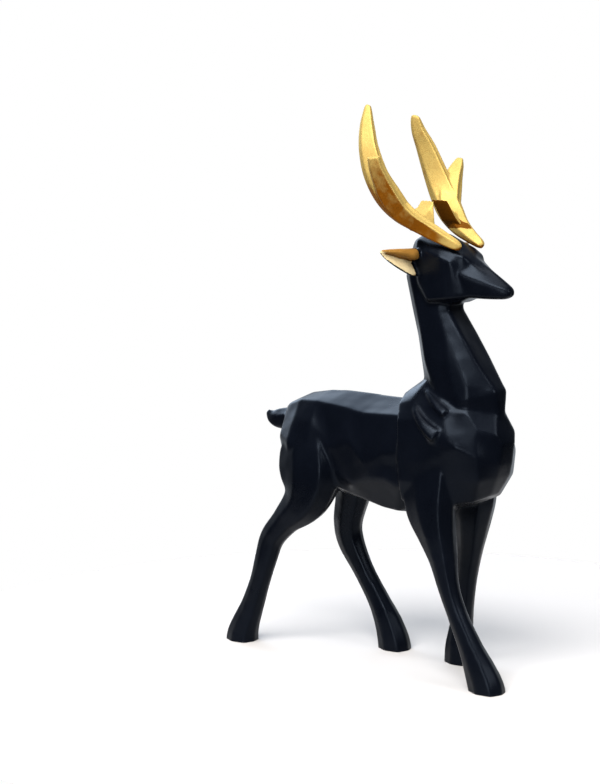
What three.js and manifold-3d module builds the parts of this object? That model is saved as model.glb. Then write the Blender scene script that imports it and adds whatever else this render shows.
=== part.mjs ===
// A standing stag figurine cast in black resin, with a pair of gold antlers set on its skull.
// Millimetres, +Z up, +X the way the stag faces, +Y its left. The soles stand on z = 0.
// Legs, tail, ears and antlers are sweeps of a polygon section along a smooth path; trunk, chest, neck and head
// are lofts through rings of corners, every four corners making one carved plane.
import * as THREE from "three";
import { mergeVertices } from "three/addons/utils/BufferGeometryUtils.js";
import Module from "manifold-3d";

const wasm = await Module();
wasm.setup();

// Driving dimensions
const STANCE_HALF = 17; // the soles' distance from the middle plane
const SKULL_Z = 203; // top of the skull
const RIGHT_TIP_Z = 260; // the right antler's tip
const LEFT_TIP_Z = 255; // the left antler's, a little lower and blunter
const GLUE_GAP = 0.3; // clearance round each antler's seat
const LEG_OVERRUN = 3; // the legs run this far under the floor before the soles are cut flat

const BLACK = { color: 0x15181d, roughness: 0.35, metalness: 0 };
const GOLD = { color: 0xd9a441, roughness: 0.35, metalness: 1 };

// Unit sections: [across, forward] for upright limbs, [across, up] for level ones. Each side is one carved plane.
const mirrored = (half) => [...half, ...half.filter(([s]) => s > 0).reverse().map(([s, f]) => [-s, f])];
const LEG_SECTION = mirrored([[0, 0.95], [0.85, 0.72], [1, -0.15], [0.55, -0.95], [0, -1]]);
const FOLD_SECTION = mirrored([[0, 1], [0.82, 0.96], [1, -1], [0, -1.6]]);
const TAIL_SECTION = mirrored([[0, 1], [0.9, 0.3], [0.6, -0.8], [0, -1]]);
const ANTLER_SECTION = mirrored([[0, 0.9], [0.45, 1], [1, -0.35], [0.4, -0.95], [0, -1]]);
const EAR_SECTION = [[1, 0.35], [0.7, -0.7], [0, -1], [-0.7, -0.7], [-1, 0.35], [-0.78, 0.35], [0, -0.5], [0.78, 0.35]];

const UP = new THREE.Vector3(0, 0, 1);
const FORWARD = new THREE.Vector3(1, 0, 0);

// Catmull-Rom through rows of numbers: every span is cut into `steps` equal parts.
function smoothRows(rows, steps) {
  const at = (i) => rows[Math.min(Math.max(i, 0), rows.length - 1)];
  const out = [];
  for (let i = 0; i < rows.length - 1; i++)
    for (let k = 0; k < steps; k++) {
      const t = k / steps;
      out.push(
        rows[i].map((p1, n) => {
          const [p0, p2, p3] = [at(i - 1)[n], at(i + 1)[n], at(i + 2)[n]];
          return p1 + 0.5 * t * (p2 - p0 + t * (2 * p0 - 5 * p1 + 4 * p2 - p3 + t * (3 * (p1 - p2) + p3 - p0)));
        }),
      );
    }
  return [...out, rows.at(-1)];
}

// A closed solid from triangles, turned so that its faces point out.
function solid(points, triangles) {
  let volume = 0;
  for (const [a, b, c] of triangles)
    volume += points[a].dot(new THREE.Vector3().crossVectors(points[b], points[c]));
  const turned = volume < 0 ? triangles.map(([a, b, c]) => [a, c, b]) : triangles;
  return new wasm.Manifold(
    new wasm.Mesh({
      numProp: 3,
      vertProperties: new Float32Array(points.flatMap((p) => p.toArray())),
      triVerts: new Uint32Array(turned.flat()),
    }),
  );
}

// Walls between neighbouring rings of points, and a fan from the middle of the first and of the last ring.
function skin(points, count) {
  const n = points.length / count;
  const triangles = [];
  for (let i = 0; i < count - 1; i++)
    for (let k = 0; k < n; k++) {
      const [a, b] = [i * n + k, i * n + ((k + 1) % n)];
      triangles.push([a, b, b + n], [a, b + n, a + n]);
    }
  for (const [row, flip] of [[0, false], [count - 1, true]]) {
    const ring = points.slice(row * n, (row + 1) * n);
    const middle = ring.reduce((sum, point) => sum.add(point), new THREE.Vector3()).divideScalar(n);
    const hub = points.push(middle) - 1;
    for (let k = 0; k < n; k++) {
      const [a, b] = [row * n + k, row * n + ((k + 1) % n)];
      triangles.push(flip ? [hub, a, b] : [hub, b, a]);
    }
  }
  return solid(points, triangles);
}

// Carries a section along stations [x, y, z, half across, half forward].
// front says which way the section's second axis looks; axis, where given, keeps every section square to it.
function sweep(stations, section, { front = FORWARD, axis = null, steps = 3, grow = 0 } = {}) {
  const rows = smoothRows(stations, steps);
  const path = rows.map(([x, y, z]) => new THREE.Vector3(x, y, z));
  const points = [];
  rows.forEach(([, , , across, deep], i) => {
    const along = axis ?? path[Math.min(i + 1, path.length - 1)].clone().sub(path[Math.max(i - 1, 0)]).normalize();
    const f = front.clone().addScaledVector(along, -front.dot(along)).normalize();
    const s = new THREE.Vector3().crossVectors(f, along);
    if (s.y < 0) s.negate();
    for (const [u, v] of section)
      points.push(path[i].clone().addScaledVector(s, u * (across + grow)).addScaledVector(f, v * (deep + grow)));
  });
  return skin(points, rows.length);
}

// A closed form through rings of corners given for the right side: each ring is closed by the same corners with
// y turned to -y.
function loft(rings) {
  const closed = rings.map((ring) => [
    ...ring,
    ...ring.filter(([, y]) => y !== 0).reverse().map(([x, y, z]) => [x, -y, z]),
  ]);
  return skin(closed.flat().map((corner) => new THREE.Vector3(...corner)), rings.length);
}

const union = (parts) => parts.reduce((all, part) => all.add(part));

// Rump, loin, flank and ribs: rings from the croup to inside the chest, each from the middle of the back down the
// right side to the middle of the belly.
const trunk = () =>
  loft(
    [
        [[-60, 0, 116.5], [-60, -3, 115.8], [-60, -4.8, 112], [-60, -6.6, 106], [-60, -5, 101],
         [-60, -2.4, 99], [-60, 0, 98.5]],
        [[-55, 0, 119.5], [-55, -7.2, 118], [-55, -11, 111.5], [-55, -15, 103], [-55, -12.5, 94],
         [-55, -5.6, 90], [-55, 0, 89]],
        [[-46, 0, 123.5], [-46, -10, 121.2], [-46, -14.6, 112.6], [-46, -20.2, 101.5], [-46, -18.5, 88.5],
         [-46, -8, 83.5], [-46, 0, 82.5]],
        [[-35, 0, 125.5], [-35, -12, 121.6], [-34, -16.8, 112], [-34, -21, 98], [-34, -19.5, 88],
         [-33, -11, 80.5], [-34, 0, 78.5]],
        [[-24, 0, 126.3], [-27, -13, 121], [-23, -17.6, 101.6], [-22, -16.4, 96], [-21, -15.5, 90.3],
         [-20.5, -13, 82], [-24, 0, 75.8]],
        [[-12, 0, 126.2], [-14.8, -13.5, 120], [-10, -18.5, 105.6], [-9.7, -17.5, 95.6], [-9.8, -16.5, 85],
         [-13.6, -11, 79], [-13, 0, 74.4]],
        [[-2, 0, 125.9], [-4.7, -15, 118.8], [0, -20, 96.6], [1.4, -19.6, 94.3], [0.7, -18.6, 88.5],
         [-4.9, -11.5, 77.4], [-3, 0, 73.2]],
        [[8, 0, 125.8], [6.2, -15.5, 119.4], [11.8, -21, 102.6], [11.5, -19.8, 96.2], [11.6, -20, 90.9],
         [4.6, -11.5, 75.3], [6, 0, 72.6]],
        [[20, 0, 126], [17, -16, 120], [21, -21, 104.6], [20, -19.8, 97.4], [19.5, -19, 87.5],
         [13.5, -11, 74.4], [15, 0, 72.4]],
        [[34, 0, 120], [34, -11, 117], [36, -16, 104], [36, -15, 97], [36, -14, 91], [32, -9, 83],
         [32, 0, 80]],
    ],
  );

// Shoulders and breast: rings from inside the neck down to inside the forelegs, each from the shoulder's rear edge
// round to the narrow plane on the front of the breast.
const chest = () =>
  loft(
    [
        [[24, -4, 137], [29, -6, 138], [38, -7, 138], [46, -6, 137], [52, -2, 136]],
        [[14.2, -8, 129], [27, -9, 135.5], [37.6, -12, 133], [48.3, -10, 131.5], [58.6, -3, 131.5]],
        [[16.2, -15, 125.4], [24.5, -15.5, 127.2], [41.3, -17, 124.8], [53.4, -14, 123.9], [63.4, -4.2, 121.4]],
        [[19.3, -20.5, 118.5], [31.7, -20.5, 119.8], [47.7, -20.2, 113.7], [59.3, -13, 117.1],
         [65.7, -7.3, 114.4]],
        [[20.4, -21.8, 109.7], [34, -22, 111.1], [48.5, -20.6, 112], [58.8, -14.4, 113.7], [67, -5.2, 110.2]],
        [[20.6, -22, 100.5], [34.3, -22.2, 101.2], [52.5, -20, 109.7], [60.9, -15, 105], [65.8, -4.9, 100.6]],
        [[20.9, -21.6, 91.3], [33.8, -21.4, 91], [49, -18, 94.1], [60.4, -14, 94], [64.3, -4.9, 95]],
        [[20.7, -19, 81.7], [34.2, -18, 80.9], [47, -15, 82], [56, -10, 83.8], [59.4, -3.1, 85.9]],
        [[27, -10, 77.5], [34, -10, 77.5], [42, -8, 78.5], [48, -6, 80], [51, -2, 81]],
    ],
  );

// The neck: rings from inside the skull to inside the chest, each from the nape round the side plane and the two
// bevels to the narrow plane on the front. The last but two is the lip over the breast.
const neck = () =>
  loft(
    [
        [[17, -2.5, 192], [19, -4, 192], [26, -5, 192], [28, -5, 192], [30, -4, 192]],
        [[11, -3.2, 183], [16, -7, 183.3], [31.4, -7.5, 184.2], [32.9, -6.8, 184.2], [36.8, -5.6, 184.3]],
        [[15.1, -3.5, 168], [21, -8, 168.2], [33.5, -8.6, 168.6], [34.2, -8.2, 168.1], [37.7, -5.9, 168.2]],
        [[19, -4, 155.8], [24.8, -9.5, 156.7], [38.6, -10, 158.2], [39.6, -9.4, 157.8], [45.3, -6.3, 157.5]],
        [[21.5, -4.5, 144.6], [28, -11, 145.7], [41.6, -12.4, 147.4], [45.8, -11.4, 147.2], [52.4, -6.1, 147.2]],
        [[23.3, -5, 136.5], [32.5, -12, 136.6], [45.1, -14, 136.1], [52.8, -12.6, 135.8], [61, -4.2, 135.6]],
        [[24, -5, 131], [36.6, -13, 132], [49.3, -14.4, 129.4], [53.5, -13.4, 130.1], [62.5, -4.7, 133.5]],
        [[26.8, -5, 126.7], [37.6, -12, 126.2], [49.5, -13, 122.9], [53.1, -12, 123.6], [63.5, -2.1, 121.7]],
        [[30, -4, 116], [36, -8, 116], [45, -8, 115], [49, -7, 115], [55, -2, 115]],
    ],
  );

// The head: rings from the back of the skull to the nose, each from the middle of the crown over the brow and down
// the cheek to the jaw's lower edge.
const head = () =>
  loft(
    [
        [[13.5, 0, 196], [14, -2, 196], [14.5, -3, 191], [14.5, -2.5, 186], [14, -1.5, 185]],
        [[16.5, 0, 200], [17.5, -5, 199], [18, -6.5, 191], [18.5, -5.5, 183], [18, -4, 181.5]],
        [[21, 0, 202.5], [21.5, -8.5, 200], [21.5, -10.5, 190.5], [23.4, -10, 180], [21, -6.5, 178]],
        [[27.5, 0, SKULL_Z], [27.5, -9, 198.5], [29, -11.6, 195], [28.7, -11, 173], [27, -6.5, 170.7]],
        [[34, 0, SKULL_Z - 0.5], [34.6, -9.5, 197.5], [37.2, -12.8, 192.5], [38.4, -11, 174], [35.3, -5.5, 170.7]],
        [[40, 0, 199.5], [41.3, -9, 196], [42.4, -12, 190.4], [43.2, -9.6, 174.6], [42, -5, 171.8]],
        [[44, 0, 196], [46.6, -8, 193.2], [45.4, -8.6, 188], [47.3, -8.2, 175.2], [45.8, -5, 173.6]],
        [[47.5, 0, 193], [49, -5.5, 190.5], [45.6, -9.8, 185.3], [50, -7.2, 175.3], [48.5, -4.6, 174.4]],
        [[56, 0, 188], [56.3, -3.4, 185.5], [56, -6.6, 182], [57.2, -5.2, 175.5], [56.1, -3.4, 174.3]],
        [[63, 0, 183.5], [64, -2.4, 181.5], [64.2, -4.4, 179.8], [65, -3.6, 175.8], [64.5, -2.4, 174.6]],
        [[67.2, 0, 180.5], [67.6, -1.2, 179.8], [67.8, -2.4, 178.6], [68, -2, 176.4], [67.4, -1.4, 175.8]],
    ],
  );

// Each ear is a pointed leaf, hollowed on its front face, and the roll inside its upper edge.
function ear(side) {
  const leaf = sweep(
    [
      [22, side * 8, 189.4, 5.4, 3],
      [23, side * 13, 189.8, 6.8, 3.4],
      [23, side * 19, 191, 6, 3.4],
      [21.8, side * 26, 193, 4.2, 2.8],
      [20.6, side * 31.5, 194.8, 2.2, 1.6],
      [20, side * 34.2, 195.8, 0.7, 0.5],
    ],
    EAR_SECTION,
  );
  const roll = sweep(
    [
      [22.5, side * 10, 193, 1.6, 1.6],
      [23.8, side * 13, 193.2, 2.5, 2.3],
      [24, side * 15.5, 193.2, 2.3, 2.2],
      [23.6, side * 19, 193.9, 1.7, 1.6],
      [22.6, side * 25, 194.8, 1.3, 1.2],
      [21.2, side * 30.5, 195.4, 0.8, 0.8],
      [20.4, side * 33, 195.8, 0.4, 0.4],
    ],
    LEG_SECTION,
  );
  return leaf.add(roll);
}

function tail() {
  return sweep(
    [
      [-52, 0, 110, 4, 5],
      [-60, 0, 109.5, 4.6, 5.4],
      [-67, 0, 108.5, 4.4, 5.2],
      [-72, 0, 109, 3, 3.8],
      [-75.5, 0, 111.5, 0.8, 1.4],
    ],
    TAIL_SECTION,
    { front: UP },
  );
}

// A fold of the shoulder: a low flat-topped ridge along stations [x, y, z, half width, rise]; its top plane looks along `facing`.
function fold(side, [fx, fy, fz], stations) {
  return sweep(
    stations.map(([x, y, z, across, rise]) => [x, side * y, z, across, rise]),
    FOLD_SECTION,
    { front: new THREE.Vector3(fx, side * fy, fz) },
  );
}

// The two folds where the neck runs into the shoulder; each widens forward and ends blunt.
const shoulderFolds = (side) => [
  fold(side, [0.25, 0.85, 0.5], [
    [24.5, 14.6, 126.8, 0.5, 0.5],
    [28.4, 17.6, 122.8, 1.4, 1.6],
    [33.4, 20, 118.8, 2.2, 1.8],
    [38.4, 20.9, 115.4, 3, 1.8],
    [41.6, 21, 113.6, 3.3, 1.8],
    [42.4, 21, 113.2, 3.1, 1.6],
  ]),
  fold(side, [0.3, 0.8, 0.55], [
    [27.5, 10.5, 133, 0.5, 0.4],
    [31.5, 12.6, 130.6, 1.2, 1.5],
    [36, 14.8, 127.8, 1.7, 1.8],
    [40.6, 16.2, 125, 2.1, 1.8],
    [43.6, 16.7, 123.6, 2.2, 1.8],
    [44.4, 16.7, 123.2, 2, 1.6],
  ]),
];

// A leg runs from inside the trunk to under the floor: [x, z, half across, half forward], at the stance's width.
function leg(side, top, stations) {
  return sweep(
    stations.map(([x, z, across, deep]) => [
      x,
      side * THREE.MathUtils.lerp(STANCE_HALF, top, THREE.MathUtils.clamp((z - 45) / 60, 0, 1)),
      z,
      across,
      deep,
    ]),
    LEG_SECTION,
  );
}

// The stag walks: right foreleg forward, left foreleg under the chest, right hind leg back, left hind leg forward.
const rightFore = () =>
  leg(-1, 14, [
    [35, 106, 6, 11],
    [35, 95, 7.2, 13.4],
    [35.2, 85, 8, 13.2],
    [36.6, 77, 8.2, 12],
    [40, 67, 7.6, 8.8],
    [43.5, 57, 6.2, 6.4],
    [47, 45, 4.7, 5],
    [52, 33, 4.4, 4.6],
    [59.5, 19, 5, 5.6],
    [65, 9, 6.2, 7.4],
    [68.5, 1.5, 7, 8.4],
    [69, -LEG_OVERRUN, 7, 8.4],
  ]);
const leftFore = () =>
  leg(1, 14, [
    [36, 106, 6, 11],
    [36.2, 95, 7.2, 13.4],
    [36.8, 85, 8, 13],
    [37, 77, 8, 11.6],
    [36.5, 67, 7.2, 8.6],
    [35, 55, 5.6, 6.2],
    [33, 42, 4.7, 5],
    [31.5, 28, 4.5, 4.8],
    [30, 16, 5.2, 5.8],
    [29.5, 8, 6.2, 7],
    [30, 1.5, 6.8, 7.8],
    [30, -LEG_OVERRUN, 6.8, 7.8],
  ]);
const rightHind = () =>
  leg(-1, 11, [
    [-40, 118, 2, 3],
    [-39.4, 112, 4.4, 8],
    [-38.6, 105, 7.6, 12.6],
    [-37.8, 96, 10, 16.2],
    [-36.6, 85, 10.4, 16.4],
    [-39.5, 73, 8.6, 11.8],
    [-50, 62.5, 6.2, 7.4],
    [-58.2, 53, 5, 6.4],
    [-61.5, 43, 4.6, 5.8],
    [-65.5, 31, 4.4, 5.2],
    [-70.5, 18, 5, 5.8],
    [-75, 8, 6, 7],
    [-77, 1.5, 6.8, 8],
    [-77, -LEG_OVERRUN, 6.8, 8],
  ]);
const leftHind = () =>
  leg(1, 11, [
    [-40, 118, 2, 3],
    [-38, 112, 4.4, 8],
    [-36, 105, 7.6, 12.4],
    [-34, 96, 10, 15],
    [-32, 85, 9.4, 14],
    [-33, 73, 7.4, 9],
    [-37, 59, 6, 7.4],
    [-36, 49, 5.4, 6.8],
    [-28.5, 36, 4.6, 5.2],
    [-19.5, 23, 4.8, 5.4],
    [-13, 12, 6, 6.8],
    [-9.5, 2.5, 6.8, 8],
    [-9, -LEG_OVERRUN, 6.8, 8],
  ]);

// An antler: a beam from its seat on the forehead to the tip, a broad tine that leans out and one that leans in.
function antler(side, grow = 0) {
  const right = side < 0;
  const tip = right ? RIGHT_TIP_Z : LEFT_TIP_Z;
  const branch = (stations) =>
    sweep(stations.map(([x, y, z, across, deep]) => [x, side * y, z, across, deep]), ANTLER_SECTION, { grow });
  const beam = branch([
    [45.4, 8.4, 196.6, 1.2, 1.2],
    [43.6, 8.8, 198, 2.6, 2.2],
    [37.5, 10.2, 201, 3.2, 3.2],
    [29.4, 12.9, 205.4, 3.6, 4.6],
    [20.7, 17.6, 211.6, 4, 6],
    [14.1, 20.8, 219, 4, 6.4],
    [8.2, 22.2, 229, 3.8, 6],
    [3.6, 21.4, 240, 3.2, 5],
    [1, 19.4, (240 + tip) / 2, 2.6, 3.8],
    [0.2, 17.8, tip - 1.6, 1.5, right ? 1.9 : 2.6],
    [0.2, 17.4, tip, 0.7, right ? 0.8 : 1.5],
  ]);
  const outerTine = branch([
    [24, 15.4, 208.6, 2.4, 3],
    [18.8, 19.3, 214.5, 4.2, 5.6],
    [16.2, 23.6, 221.6, 4.4, 5.6],
    ...(right
      ? [[15.2, 27.4, 228, 3.6, 4.6], [14.6, 30, 233, 3, 3.8], [14.3, 31.4, 237.4, 2.4, 3.2]]
      : [[15.2, 27.8, 227.6, 3.4, 4.4], [14.8, 31.2, 232, 2.2, 3.2], [14.6, 33.4, 235, 1.1, 1.8]]),
  ]);
  const innerRings = [
    [[18, 17, 213], [26.5, 16, 211], [31.5, 14.5, 203.6], [23, 16, 204]],
    [[20, 12, 212.6], [27.6, 12, 211], [33.6, 10.5, 204.4], [24.5, 11.5, 204]],
    [[20.6, 7.6, 214.4], [27.8, 8, 213.6], [31.4, 8.4, 208], [22.8, 8, 207.6]],
    [[20, 3.6, 217.4], [28, 4.8, 217.4], [28.6, 5.4, 215.8], [20.8, 4.2, 215.4]],
  ];
  const innerTine = skin(innerRings.flat().map(([x, y, z]) => new THREE.Vector3(x, side * y, z)), innerRings.length);
  return union([beam, outerTine, innerTine]);
}

function casting() {
  const pieces = [trunk(), chest(), neck(), head(), tail(), rightFore(), leftFore(), rightHind(), leftHind()];
  for (const side of [-1, 1]) pieces.push(ear(side), ...shoulderFolds(side));
  const seats = [-1, 1].map((side) => antler(side, GLUE_GAP));
  return seats.reduce((body, seat) => body.subtract(seat), union(pieces).trimByPlane([0, 0, 1], 0));
}

function node(name, shape, look) {
  const { numProp, vertProperties, triVerts } = shape.getMesh();
  const geometry = new THREE.BufferGeometry();
  const interleaved = new THREE.InterleavedBuffer(vertProperties, numProp);
  geometry.setAttribute("position", new THREE.InterleavedBufferAttribute(interleaved, 3, 0));
  geometry.setIndex([...triVerts]);
  const plain = mergeVertices(geometry.toNonIndexed());
  plain.computeVertexNormals();
  const mesh = new THREE.Mesh(plain, new THREE.MeshStandardMaterial(look));
  mesh.name = name;
  return mesh;
}

const stag = new THREE.Group();
stag.add(node("stag_casting", casting(), BLACK));
stag.add(node("antler_right", antler(-1), GOLD));
stag.add(node("antler_left", antler(1), GOLD));

// The middle of the stag's length goes to x = 0.
const extent = new THREE.Box3().setFromObject(stag);
stag.position.x = -(extent.min.x + extent.max.x) / 2;

export default stag;
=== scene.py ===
"""A standing stag figurine: a black resin casting with a pair of gold antlers.

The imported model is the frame. The casting and each antler are worked out again here on a finer
grid, joined into one skin and softened along the carved edges, as a mould and its paint soften
them. Sizes in the shape functions are millimetres in the stag's own frame (+X forward, +Y its
left, +Z up, soles at z = 0). Materials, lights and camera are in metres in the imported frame.
"""

import bpy
import numpy as np
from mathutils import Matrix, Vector


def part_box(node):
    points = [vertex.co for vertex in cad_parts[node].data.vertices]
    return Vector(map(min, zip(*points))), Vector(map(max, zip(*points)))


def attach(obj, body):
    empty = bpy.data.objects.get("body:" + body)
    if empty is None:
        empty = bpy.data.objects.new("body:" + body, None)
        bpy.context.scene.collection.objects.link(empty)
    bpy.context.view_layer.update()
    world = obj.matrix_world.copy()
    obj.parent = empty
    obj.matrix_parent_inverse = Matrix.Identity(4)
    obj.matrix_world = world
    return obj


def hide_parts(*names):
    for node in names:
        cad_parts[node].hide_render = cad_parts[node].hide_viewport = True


bl_info = {
    "name": "Resin Stag Figurine",
    "version": (1, 0, 0),
    "blender": (4, 5, 0),
    "location": "3D View > Sidebar > Stag",
    "description": "Builds a carved black resin stag with gold antlers around its packed frame",
    "category": "Add Mesh",
}

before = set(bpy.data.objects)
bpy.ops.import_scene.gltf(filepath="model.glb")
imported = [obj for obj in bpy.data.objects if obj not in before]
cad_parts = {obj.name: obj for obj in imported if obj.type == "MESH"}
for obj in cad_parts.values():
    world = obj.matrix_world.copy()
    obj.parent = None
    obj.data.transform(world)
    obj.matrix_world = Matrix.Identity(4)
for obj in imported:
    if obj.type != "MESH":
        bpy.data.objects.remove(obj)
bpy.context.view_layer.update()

MM = 0.001
FORWARD_SHIFT = 3.78  # the frame's x of the stag's own x = 0, in mm
UP = np.array([0.0, 0.0, 1.0])
FORWARD = np.array([1.0, 0.0, 0.0])

STANCE_HALF = 17.0  # from the middle line to the middle of each sole
LEAN_START_Z = 45.0  # the legs stand upright below this height
LEAN_RISE = 60.0  # and reach their place under the trunk this much higher
SKULL_Z = 203.0
RIGHT_TIP_Z = 260.0
LEFT_TIP_Z = 255.0

PATH_STEPS = 8  # parts between two stations of a path
FACE_PARTS = 4  # parts along each side of a section and of a carved plane
BODY_TRIANGLES = 190000
ANTLER_TRIANGLES = 120000

EAR_ROOT_Y = 12.4  # the painted leaf starts this far off the middle
EAR_FRONT_X = 27.5  # and ends behind this
EAR_REACH_U = 1.6  # largest |ear_u| and |ear_v| that still count as the leaf
EAR_REACH_V = 2.0
OFF_EAR = 2.0  # what ear_u is elsewhere
EAR_PAINT_EDGE = 0.9  # |ear_u| at which the gold ends
EAR_FRONT_RISE = 0.9  # the gold lies where ear_v > RISE |ear_u| - DROP
EAR_FRONT_DROP = 0.78

# Painted shade: a dark patch on each inner tine's face towards the other antler, in place of the
# dark that it reflects
SHADED_TINE_WAVE = 0.006  # how far the clouds shift the edge of the painted shade patch, in m
SHADED_TINE_INNER_Y = 0.0152  # the patch lies nearer the middle than this
SHADED_TINE_LOW_Z = 0.2076  # and above this
SHADED_TINE_FACING = -0.2  # where the surface looks at the other antler
SHADED_TINE_SHARE = 0.4  # the painted shade's tone as a share of the shaded gold

FLOOR_RINGS = 6
FLOOR_SPOKES = 96
SENSOR_WIDTH = 36.0
CAMERA_AIM_RIGHT = -0.04186  # the camera looks this far to the right of the stag's middle
CAMERA_AIM_Z = 0.1274
LIGHT_AIM = (0.0, 0.0, 0.13)
WHITE = (1.0, 1.0, 1.0)
COOL = (0.62, 0.78, 1.0)
LIGHTS = (  # name, place, width, height, power, tint
    ("key", (0.15, -0.66, 1.04), 0.95, 0.45, 32.0, WHITE),
    ("back", (-0.75, 0.55, 0.95), 1.2, 0.9, 12.0, COOL),
    ("top", (0.0, 0.0, 1.5), 0.8, 0.8, 12.0, WHITE),
    ("front", (0.95, 0.05, 0.65), 0.5, 0.5, 6.0, WHITE),
    ("rear", (-1.05, 0.35, 0.5), 0.5, 0.5, 4.0, COOL),
    ("side", (0.4, -1.15, 0.3), 0.6, 0.6, 9.0, WHITE),
)
ROOM_TINT = (0.85, 0.92, 1.0, 1.0)
ROOM_FADE = {"From Min": 0.3, "From Max": 0.9, "To Min": 0.03, "To Max": 1.1}


def mirrored(half):
    """A closed section from its right half: the corners off the middle line are repeated with u
    turned to -u."""
    half = [tuple(c) for c in half]
    return np.array(half + [(-u, v) for u, v in reversed(half) if u > 0], float)


LEG_SECTION = mirrored([(0, 0.95), (0.85, 0.72), (1, -0.15), (0.55, -0.95), (0, -1)])
TAIL_SECTION = mirrored([(0, 1), (0.9, 0.3), (0.6, -0.8), (0, -1)])
FOLD_SECTION = mirrored([(0, 1), (0.82, 0.96), (1, -1), (0, -1.6)])
ANTLER_SECTION = mirrored([(0, 0.9), (0.45, 1), (1, -0.35), (0.4, -0.95), (0, -1)])
EAR_SECTION = np.array(
    [(1, 0.35), (0.7, -0.7), (0, -1), (-0.7, -0.7), (-1, 0.35), (-0.78, 0.35), (0, -0.5),
     (0.78, 0.35)], float
)


def smooth_rows(rows):
    """A smooth curve through the rows: each span is a cubic whose slope at a row is half the way
    from the row before to the row after, cut into PATH_STEPS equal parts."""
    rows = np.asarray(rows, float)
    held = np.vstack([rows[:1], rows, rows[-1:]])
    p0, p1, p2, p3 = held[:-3, None], held[1:-2, None], held[2:-1, None], held[3:, None]
    t = (np.arange(PATH_STEPS) / PATH_STEPS)[None, :, None]
    bend = 2 * p0 - 5 * p1 + 4 * p2 - p3 + t * (3 * (p1 - p2) + p3 - p0)
    spans = p1 + 0.5 * t * (p2 - p0 + t * bend)
    return np.vstack([spans.reshape(-1, rows.shape[1]), rows[-1:]])


def unit(v):
    """v over its length."""
    return v / np.linalg.norm(v, axis=-1, keepdims=True)


def skin_of_rings(points):
    """Two triangles between each two neighbours in each two rings, and a fan from the middle of
    the first and of the last ring."""
    n, m = points.shape[:2]
    index = np.arange(n * m).reshape(n, m)
    a, b = index[:-1], np.roll(index, -1, 1)[:-1]
    c, d = np.roll(index, -1, 1)[1:], index[1:]
    walls = [np.stack(corners, -1).reshape(-1, 3) for corners in ([a, b, c], [a, c, d])]
    first, last = n * m, n * m + 1
    start = np.stack([np.full(m, first), np.roll(index[0], -1), index[0]], -1)
    end = np.stack([np.full(m, last), index[-1], np.roll(index[-1], -1)], -1)
    hubs = points[[0, -1]].mean(1)
    return np.vstack([points.reshape(-1, 3), hubs]), np.concatenate([*walls, start, end])


def sweep(stations, section, front=FORWARD):
    """A section carried along a path: point = centre + s u across + f v deep. Each station gives
    the centre, across and deep. f is `front` made square to the path, s is square to both, and
    each side of the section is cut into FACE_PARTS equal parts."""
    rows = smooth_rows(stations)
    path = rows[:, :3]
    ends = np.vstack([path[:1], path, path[-1:]])
    along = unit(ends[2:] - ends[:-2])
    f = unit(front - along * (along @ front)[:, None])
    s = np.cross(f, along)
    s = np.where(s[:, 1:2] < 0, -s, s)
    corners = np.tile(section, (len(rows), 1, 1))
    cut = (np.arange(FACE_PARTS) / FACE_PARTS)[None, None, :, None]
    ring = corners[:, :, None] * (1 - cut) + np.roll(corners, -1, 1)[:, :, None] * cut
    ring = ring.reshape(len(rows), -1, 2)
    points = (
        path[:, None]
        + s[:, None] * (ring[:, :, :1] * rows[:, None, 3:4])
        + f[:, None] * (ring[:, :, 1:] * rows[:, None, 4:5])
    )
    return skin_of_rings(points)


def planes(corners):
    """A closed form through rings of corners: rings and corners are joined by straight lines, so
    that every four corners make a carved plane, cut into FACE_PARTS by FACE_PARTS parts."""
    corners = np.array(corners, float)
    t = np.arange(FACE_PARTS) / FACE_PARTS
    down, across = t[None, :, None, None], t[None, None, :, None]
    rows = corners[:-1, None] * (1 - down) + corners[1:, None] * down
    rows = np.vstack([rows.reshape(-1, *corners.shape[1:]), corners[-1:]])
    points = rows[:, :, None] * (1 - across) + np.roll(rows, -1, 1)[:, :, None] * across
    return skin_of_rings(points.reshape(len(rows), -1, 3))


def loft(rings):
    """Carved planes through rings given for the stag's right side: each ring is closed by the same
    corners with y turned to -y."""
    right = np.array(rings, float)
    left = right[:, ::-1] * [1, -1, 1]
    left = left[:, :-1] if np.allclose(right[:, 0, 1], 0) else left
    left = left[:, 1:] if np.allclose(right[:, -1, 1], 0) else left
    return planes(np.concatenate([right, left], 1))


def joined(masses):
    """Puts closed masses into one list of points and triangles, each turned to face out."""
    points, triangles, start = [], [], 0
    for p, t in masses:
        volume = np.einsum("ij,ij->", p[t[:, 0]], np.cross(p[t[:, 1]], p[t[:, 2]]))
        points.append(p)
        triangles.append((t if volume > 0 else t[:, ::-1]) + start)
        start += len(p)
    return np.vstack(points), np.concatenate(triangles)


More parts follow.
